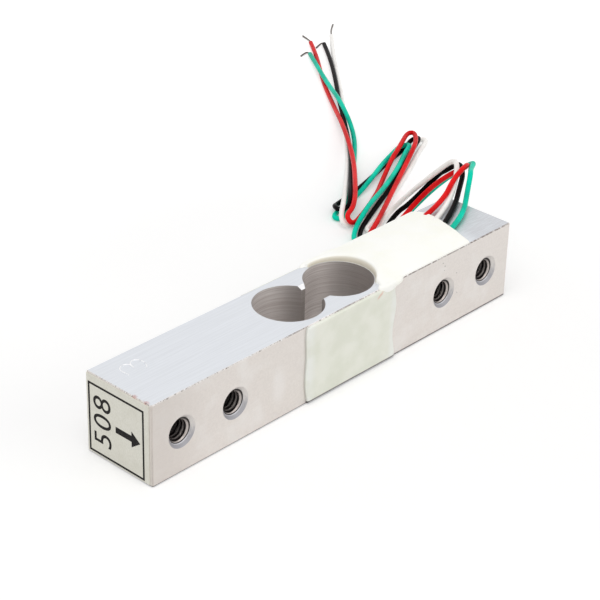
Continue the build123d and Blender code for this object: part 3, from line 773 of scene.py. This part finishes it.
def pottingFinish():
    # cured silicone: cream white, soft shine, shallow swirls from pouring
    material, tree, shader = newFinish("pottingSilicone", 0.36, coat=0.15)
    # a faint painted glow stands in for light that has gone through the silicone and comes out again
    shader.inputs["Emission Color"].default_value = (1.0, 1.0, 0.97, 1.0)
    shader.inputs["Emission Strength"].default_value = 0.06
    place = placeInMm(tree)
    cloud = noise(tree, place, 0.16, 4.0)
    colour = mixed(tree, between(tree, cloud, 0.35, 0.7), (255, 255, 251), (252, 252, 243))
    specks = noise(tree, place, 6.0, 2.0)
    colour = mixed(tree, between(tree, specks, 0.74, 0.8, 0.0, 0.45), colour, (225, 221, 204))
    # painted shade on the thin rounded lip round the bore, in a brownish tone
    parts = addNode(tree, "SeparateXYZ", {0: place}).outputs
    flat = addNode(tree, "CombineXYZ", {0: parts["X"], 1: parts["Y"]}).outputs[0]
    fromBore = distanceTo(tree, flat, (potLook["boreCentre"], 0, 0))
    # painted shade: a brownish band on the lip next to the bore
    lipShade = between(tree, fromBore, potLook["rimRadius"] + 0.02, potLook["lipEnd"], 0.75, 0.0)
    colour = mixed(tree, lipShade, colour, (214, 204, 178))
    tree.links.new(colour, shader.inputs["Base Color"])
    tree.links.new(between(tree, cloud, 0.3, 0.7, 0.3, 0.46), shader.inputs["Roughness"])
    addBump(tree, shader, noise(tree, place, 0.7, 4.0), 0.06)
    return material


def pottingOutline(count=160):
    # the near outline goes from the front edge round the rim of the bore; the far one follows the front
    # edge, a cubic through the end line, and the back edge, and comes back to the rim
    look = potLook
    centre, wide = look["boreCentre"], look["halfWidth"]
    rim = np.radians(np.linspace(look["frontRimAngle"], look["backRimAngle"], count))
    rim = np.column_stack([centre + look["rimRadius"] * np.cos(rim), look["rimRadius"] * np.sin(rim)])
    ends = np.array(look["endLine"])
    endY = np.linspace(-wide, wide, 60)
    endX = np.polyval(np.polyfit(ends[:, 1], ends[:, 0], 3), endY)
    near = np.concatenate([np.linspace((look["frontStart"], -wide), rim[0], 24), rim])
    far = np.concatenate([
        np.linspace((look["frontStart"], -wide), (endX[0], -wide), count),
        np.column_stack([endX, endY]),
        np.linspace((endX[-1], wide), (look["backStart"], wide), count),
        np.linspace((look["backStart"], wide), rim[-1], 24),
    ])
    return near, far


def seenFrom(centre, line):
    # the direction and the distance of each point of a line
    away = line - (centre, 0)
    return np.arctan2(away[:, 1], away[:, 0]), np.linalg.norm(away, axis=1)


def pottingDome():
    # rays leave the middle of the bore; each meets the near outline and the far outline once.
    # height = the lower of two arches, one along and one across the bar, times a quarter circle
    # that takes it to nothing over the edge round
    look = potLook
    centre, wide, top = look["boreCentre"], look["halfWidth"], barLook["side"]
    near, far = pottingOutline()
    farAngle, farReach = seenFrom(centre, far)
    angles = np.linspace(farAngle[0], farAngle[-1], 150)
    angles = np.unique(np.concatenate([angles, np.radians(np.linspace(-22, 22, 160))]))  # closer at the end
    inner, outer = np.interp(angles, *seenFrom(centre, near)), np.interp(angles, farAngle, farReach)
    reach = inner[:, None] + (outer - inner)[:, None] * eased(110)[None, :]
    x = centre + reach * np.cos(angles)[:, None]
    y = reach * np.sin(angles)[:, None]
    outline = np.concatenate([far, near[::-1]])
    gap = np.stack([x.ravel(), y.ravel()], axis=-1)[:, None, :] - outline[None, :, :]
    toEdge = np.sqrt((gap ** 2).sum(-1).min(1)).reshape(x.shape)
    along = np.interp(x, *zip(*look["crownAlong"]))
    level = look["frontEdge"] + (look["backEdge"] - look["frontEdge"]) * (y + wide) / (2 * wide)
    across = level + (look["crown"] - level) * (1 - (y / wide) ** 2)
    height = np.minimum(along, across) * edgeRise(toEdge, look["edgeRound"])
    skin = np.stack([x, y, top + height], axis=-1)
    base = np.stack([x, y, np.full(x.shape, top - look["foot"])], axis=-1)
    return np.stack([skin, base]) * mm, shellQuads(*x.shape)


def dripBead(side, x, halfWidth, drop):
    # a flattened ball on the long edge, wide along the bar, that hangs down by its drop
    look, top = potLook, barLook["side"]
    up = np.linspace(0, np.pi, 20)[:, None]
    around = np.linspace(0, 2 * np.pi, 40, endpoint=False)[None, :]
    ballX = x + halfWidth * np.sin(up) * np.cos(around)
    ballY = side * (top / 2 - look["dripSink"]) + look["dripReach"] * np.sin(up) * np.sin(around)
    ballZ = top - look["dripSink"] + drop * np.broadcast_to(np.cos(up), ballX.shape)
    ballZ = np.minimum(ballZ, top + look["dripTop"])
    return np.stack([ballX, ballY, ballZ], axis=-1) * mm, tubeQuads(*ballX.shape)


def pourPotting():
    # dome and drips are taken together on one fine net, so that they flow into each other, and eased
    parts = [pottingDome()] + [dripBead(*drip) for drip in potLook["drips"]]
    starts = np.cumsum([0] + [part[0].size // 3 for part in parts])
    points = np.concatenate([part[0].reshape(-1, 3) for part in parts])
    faces = np.concatenate([part[1] + start for part, start in zip(parts, starts)])
    piece = newPiece("potting_skin", points, faces, pottingFinish(), "potting")
    remesh = piece.modifiers.new("flow", "REMESH")
    remesh.mode = "VOXEL"
    remesh.voxel_size = potLook["voxel"] * mm
    remesh.use_smooth_shade = True
    ease = piece.modifiers.new("ease", "SMOOTH")
    ease.factor = 0.5
    ease.iterations = 8
    view = bpy.context.evaluated_depsgraph_get()
    view.update()
    poured = bpy.data.meshes.new_from_object(piece.evaluated_get(view))
    poured.name = "potting_skin"
    cover(poured, piece.data.materials[0])
    piece.modifiers.clear()
    piece.data = poured
    return piece


potting = pourPotting()
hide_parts("potting")
print("potting poured:", len(potting.data.polygons), "faces")


# End label: paper with a plain frame, an arrow and three digits
labelLook = {
    "face": -37.6,
    "print": 0.012,
    "frameOuter": (-4.95, 5.95, 0.45, 11.35),  # y from, y to, z from, z to
    "frameLine": 0.33,
    "arrow": [(0.6, 6.45), (-2.5, 6.45), (-2.5, 7.15), (-4.2, 5.9), (-2.5, 4.65), (-2.5, 5.5), (0.6, 5.5)],
    "digits": "508",
    "digitHeight": 3.55,
    "digitShare": 0.72,  # a digit's height as a share of the letter size
    "digitSpacing": 1.12,
    "digitWeight": -0.01,
    "digitPlace": (1.55, 1.95),  # y of the foot line, z where the first one starts
}


def paperFinish():
    # uncoated paper: warm grey-white, fine fibres, soft darker clouds
    material, tree, shader = newFinish("labelPaper", 0.8)
    place = placeInMm(tree)
    fibres = noise(tree, stretched(tree, place, (3.0, 3.0, 1.2)), 3.0, 6.0, 0.65)
    cloud = noise(tree, place, 0.35, 3.0)
    colour = mixed(tree, between(tree, fibres, 0.3, 0.7), (228, 226, 213), (240, 238, 228))
    colour = mixed(tree, between(tree, cloud, 0.45, 0.7, 0.0, 0.35), colour, (217, 214, 200))
    tree.links.new(colour, shader.inputs["Base Color"])
    addBump(tree, shader, fibres, 0.02)
    return material


def inkFinish():
    # black print that thins out in small flecks
    material, tree, shader = newFinish("labelInk", 0.6)
    shader.inputs["Specular IOR Level"].default_value = 0.15
    wear = noise(tree, placeInMm(tree), 4.5, 5.0, 0.7)
    colour = mixed(tree, between(tree, wear, 0.56, 0.72), (20, 17, 17), (84, 80, 76))
    tree.links.new(colour, shader.inputs["Base Color"])
    return material


def printedShape(name, outlineYZ):
    # a flat shape on the label, given as its corners in order, with the thickness of the print
    corners = np.array(outlineYZ)
    count = len(corners)
    front = np.column_stack([np.full(count, labelLook["face"] - labelLook["print"]), corners])
    back = np.column_stack([np.full(count, labelLook["face"] - 0.0005), corners])
    ahead = np.roll(np.arange(count), -1)
    walls = np.stack([np.arange(count), ahead, ahead + count, np.arange(count) + count], axis=-1)
    faces = [list(range(count - 1, -1, -1)), list(range(count, 2 * count)), *walls.tolist()]
    return newPiece(name, np.concatenate([front, back]) * mm, faces, labelInk, "label", smooth=False)


def printedDigits(name):
    # the digits are made a mesh while they lie flat, and then stood on the label to read upward
    look = labelLook
    font = bpy.data.curves.new(name, "FONT")
    font.body = look["digits"]
    font.size = look["digitHeight"] / look["digitShare"] * mm
    font.space_character = look["digitSpacing"]
    font.offset = look["digitWeight"] * mm
    font.resolution_u = 6
    font.extrude = look["print"] / 2 * mm
    holder = bpy.data.objects.new(name, font)
    scene.collection.objects.link(holder)
    mesh = bpy.data.meshes.new_from_object(holder)
    bpy.data.objects.remove(holder)
    footY, startZ = look["digitPlace"]
    faceX = look["face"] - look["print"] / 2
    upward = ((0, 0, -1, faceX * mm), (0, 1, 0, footY * mm), (1, 0, 0, startZ * mm), (0, 0, 0, 1))
    mesh.transform(Matrix(upward))
    cover(mesh, labelInk)
    return placePiece(name, mesh)


labelInk = inkFinish()
cover(nodes["end_label"].data, paperFinish())
yFrom, yTo, zFrom, zTo = labelLook["frameOuter"]
line = labelLook["frameLine"]
bars = {
    "left": (yTo - line, yTo, zFrom, zTo),
    "right": (yFrom, yFrom + line, zFrom, zTo),
    "top": (yFrom + line, yTo - line, zTo - line, zTo),
    "bottom": (yFrom + line, yTo - line, zFrom, zFrom + line),
}
for barName, (y0, y1, z0, z1) in bars.items():
    printedShape("label_frame_" + barName, [(y0, z0), (y1, z0), (y1, z1), (y0, z1)])
printedShape("label_arrow", labelLook["arrow"][::-1])
printedDigits("label_digits")
print("label printed")


# Scribed numeral on the top face
scribeLook = {
    "strokeRadius": 0.075,
    "strokeRings": 2,
    "size": (3.4, 2.7),  # along and across the bar
    "foot": (-34.3, 1.15),
    "route": [
        (0.0, 0.1), (-0.1, 0.75), (0.3, 1.05), (0.55, 0.85), (0.5, 0.45), (0.5, 0.45), (0.6, 0.95),
        (0.95, 1.0), (1.1, 0.6), (1.0, 0.15), (0.85, 0.0),
    ],
}


def scribeFinish():
    # a scratch in the metal: brighter than the face, broken where the point skipped
    material, tree, shader = newFinish("scribedLine", 0.5, metallic=0.4)
    skips = noise(tree, placeInMm(tree), 1.6, 3.0)
    colour = mixed(tree, between(tree, skips, 0.36, 0.46), (208, 211, 216), (252, 252, 253))
    tree.links.new(colour, shader.inputs["Base Color"])
    addBump(tree, shader, skips, 0.01)
    return material


alongBar, acrossBar = scribeLook["size"]
footX, footY = scribeLook["foot"]
scribePoints = [
    ((footX + share * alongBar) * mm, (footY + rise * acrossBar) * mm, (barLook["side"] + 0.01) * mm)
    for share, rise in scribeLook["route"]
]
radius, rings = scribeLook["strokeRadius"], scribeLook["strokeRings"]
scribed = roundCurve("scribed_numeral", scribePoints, radius, rings, scribeFinish())
placePiece("scribed_numeral", scribed)
print("numeral scribed")


# What the coats and the potting hide
def plainFinish(name, light, dark, roughness, metallic=0.0, scale=1.5):
    # one even stuff with a soft change of tone and gloss
    material, tree, shader = newFinish(name, roughness, metallic)
    cloud = noise(tree, placeInMm(tree), scale, 5.0)
    tree.links.new(mixed(tree, between(tree, cloud, 0.35, 0.65), light, dark), shader.inputs["Base Color"])
    spread = between(tree, cloud, 0.3, 0.7, roughness * 0.8, roughness * 1.2)
    tree.links.new(spread, shader.inputs["Roughness"])
    addBump(tree, shader, cloud, 0.01)
    return material


hiddenFinishes = {
    "gauge_film": plainFinish("polyimideFilm", (196, 132, 38), (172, 106, 24), 0.35),
    "gauge_foil": plainFinish("etchedFoil", (198, 186, 160), (176, 160, 130), 0.3, 0.9, 4.0),
    "terminal_board": plainFinish("boardLaminate", (34, 96, 58), (24, 78, 46), 0.45),
    "solder_joint": plainFinish("solder", (196, 198, 202), (166, 168, 172), 0.28, 0.95, 3.0),
    "lead_core": tipMaterial,
    "jumper": plainFinish("wireEnamel", (150, 66, 26), (120, 46, 18), 0.25, 0.4, 3.0),
}
for nodeName, node in nodes.items():
    for start, finish in hiddenFinishes.items():
        if nodeName.startswith(start):
            cover(node.data, finish)
print("hidden parts finished")


# Floor, world and lamps
roomLook = {
    "floorHalf": 3.0,
    "floorTones": ((236, 236, 236), (232, 232, 232)),
    "floorLift": (0.25, 0.5),  # what the camera sees on top of the light on the floor, near and far away
    "liftFrom": (45.0, 125.0),  # near and far, from the middle of the part
    "worldLight": 0.62,
    "lamps": {  # place, size, power, tint
        "above": ((-0.25, -0.15, 0.75), 0.7, 2.1, (1.0, 0.99, 0.98)),
        "front": ((0.25, -0.75, 0.4), 0.6, 0.9, (1.0, 0.985, 0.96)),
    },
}


def seenDirectly(tree):
    # 1 for what the camera sees, also in a mirror or through glass, and 0 for the light on the part
    rays = addNode(tree, "LightPath").outputs
    seen = work(tree, "MAXIMUM", rays["Is Camera Ray"], rays["Is Glossy Ray"])
    return work(tree, "MAXIMUM", seen, rays["Is Transmission Ray"])


def floorFinish():
    # matt and nearly white, and for the camera lifted to white, more so away from the part
    material, tree, shader = newFinish("paleFloor", 0.9)
    shader.inputs["Specular IOR Level"].default_value = 0.0
    place = placeInMm(tree)
    grain = noise(tree, place, 0.01, 2.0)
    colour = mixed(tree, between(tree, grain, 0.3, 0.7), *roomLook["floorTones"])
    tree.links.new(colour, shader.inputs["Base Color"])
    reach = distanceTo(tree, place, (0.0, 0.0, 0.0))
    glow = between(tree, reach, *roomLook["liftFrom"], *roomLook["floorLift"])
    lift = addNode(tree, "Emission", {"Strength": product(tree, seenDirectly(tree), glow)})
    both = addNode(tree, "AddShader", {0: shader.outputs[0], 1: lift.outputs[0]})
    tree.links.new(both.outputs[0], tree.nodes["Material Output"].inputs["Surface"])
    return material


half = roomLook["floorHalf"]
floorMesh = bpy.data.meshes.new("floor")
floorCorners = [(-half, -half, 0), (half, -half, 0), (half, half, 0), (-half, half, 0)]
floorMesh.from_pydata(floorCorners, [], [(0, 1, 2, 3)])
floorMesh.materials.append(floorFinish())
floor = bpy.data.objects.new("floor", floorMesh)
scene.collection.objects.link(floor)

world = bpy.data.worlds.new("softWhite")
scene.world = world
world.use_nodes = True
worldTree = world.node_tree
strength = between(worldTree, seenDirectly(worldTree), 0.0, 1.0, roomLook["worldLight"], 1.0)
worldTree.links.new(strength, worldTree.nodes["Background"].inputs["Strength"])
worldTree.nodes["Background"].inputs["Color"].default_value = (1, 1, 1, 1)

for lampName, (place, size, power, tint) in roomLook["lamps"].items():
    lamp = bpy.data.lights.new(lampName, "AREA")
    lamp.shape = "DISK"
    lamp.size = size
    lamp.energy = power
    lamp.color = tint
    lampObject = bpy.data.objects.new(lampName, lamp)
    scene.collection.objects.link(lampObject)
    away = Vector(place)  # a lamp shines along its own -Z
    lampObject.matrix_world = Matrix.LocRotScale(away, away.to_track_quat("Z", "Y"), None)
print("floor and lamps placed")
